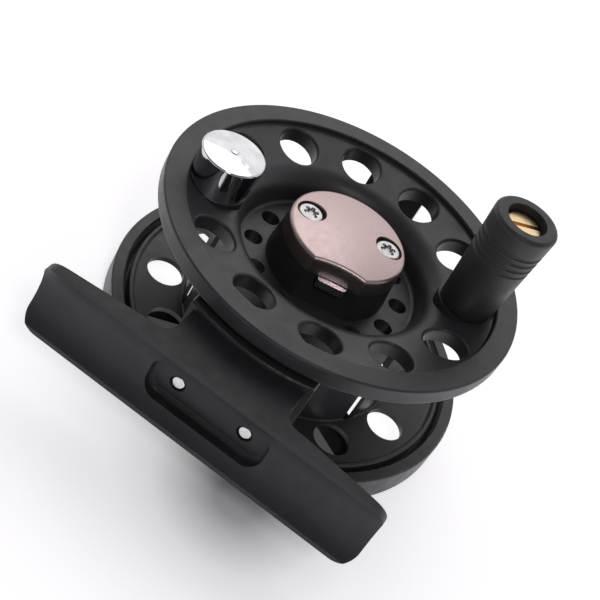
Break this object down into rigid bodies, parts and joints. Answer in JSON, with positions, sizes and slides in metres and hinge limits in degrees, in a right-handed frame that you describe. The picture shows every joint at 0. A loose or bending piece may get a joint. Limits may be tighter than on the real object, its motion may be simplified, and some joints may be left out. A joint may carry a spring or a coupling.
{
  "type": "fly fishing reel",
  "caption": "Small fly reel: windowed frame with a rod foot, a perforated spool with dished face, bronze hub cap, crank knob and chrome counterweight.",
  "frame": {"origin": "on the frame's rear face, under the middle of the outline seen from the front", "axes": "+Z along the spool axis towards the handle, -Y towards the reel foot, +X along the foot"},
  "size_m": [0.0628, 0.0714, 0.0455],
  "materials": {
    "black_alloy": "satin black anodised",
    "bronze_cap": "satin bronze anodised",
    "knob_black": "matte black",
    "chrome": "mirror polish",
    "brass": "turned",
    "steel": "satin",
    "silver_alloy": "satin",
    "bushing": "smooth",
    "friction": "fibre friction washer",
    "dark_steel": "hardened"
  },
  "bodies": {
    "frame": {"frame": "black_alloy", "reel_foot": "black_alloy", "foot_rivets": "silver_alloy", "spindle": "steel", "spindle_nut": "steel", "knob_screw": "steel", "pawl_pin": "steel", "pawl_spring": "steel"},
    "spool": {"spool": "black_alloy", "spool_bushing": "bushing", "drag_disc": "steel", "ratchet_wheel": "dark_steel", "ratchet_screws": "steel", "hub_cap": "bronze_cap", "cap_screws": "steel", "latch_spring": "steel", "handle_screw": "brass", "handle_washer": "steel", "counterweight": "chrome", "counterweight_screw": "steel"},
    "handle": {"handle_knob": "knob_black", "handle_bush": "brass"},
    "latch": {"release_latch": "silver_alloy"},
    "drag_dial": {"drag_knob": "black_alloy"},
    "drag_plate": {"thrust_ring": "steel", "thrust_plate": "steel", "drag_washer": "friction"},
    "pawl": {"click_pawl": "dark_steel"}
  },
  "joints": [
    {"name": "spool_spin", "type": "hinge", "parent": "frame", "child": "spool", "pos_m": [0, 0.0043, 0.014], "axis": [0, 0, 1], "continuous": true},
    {"name": "handle_spin", "type": "hinge", "parent": "spool", "child": "handle", "pos_m": [0.02107, 0.01098, 0.036], "axis": [0, 0, 1], "continuous": true},
    {"name": "latch_slide", "type": "slide", "parent": "spool", "child": "latch", "axis": [-0.3024, 0.9532, 0], "range_m": [0, 0.001], "stiffness_N_per_m": 600, "springref_m": -0.001},
    {"name": "drag_turn", "type": "hinge", "parent": "frame", "child": "drag_dial", "pos_m": [0, 0.0043, 0.0015], "axis": [0, 0, 1], "range_deg": [0, 300]},
    {"name": "drag_thrust", "type": "slide", "parent": "frame", "child": "drag_plate", "axis": [0, 0, 1], "range_m": [0, 0.00042], "stiffness_N_per_m": 100, "springref_m": -0.001},
    {"name": "pawl_click", "type": "hinge", "parent": "frame", "child": "pawl", "pos_m": [0, 0.0193, 0.011], "axis": [0, 0, 1], "range_deg": [-8, 0], "stiffness_Nm_per_rad": 0.01, "springref_deg": 5.73}
  ]
}
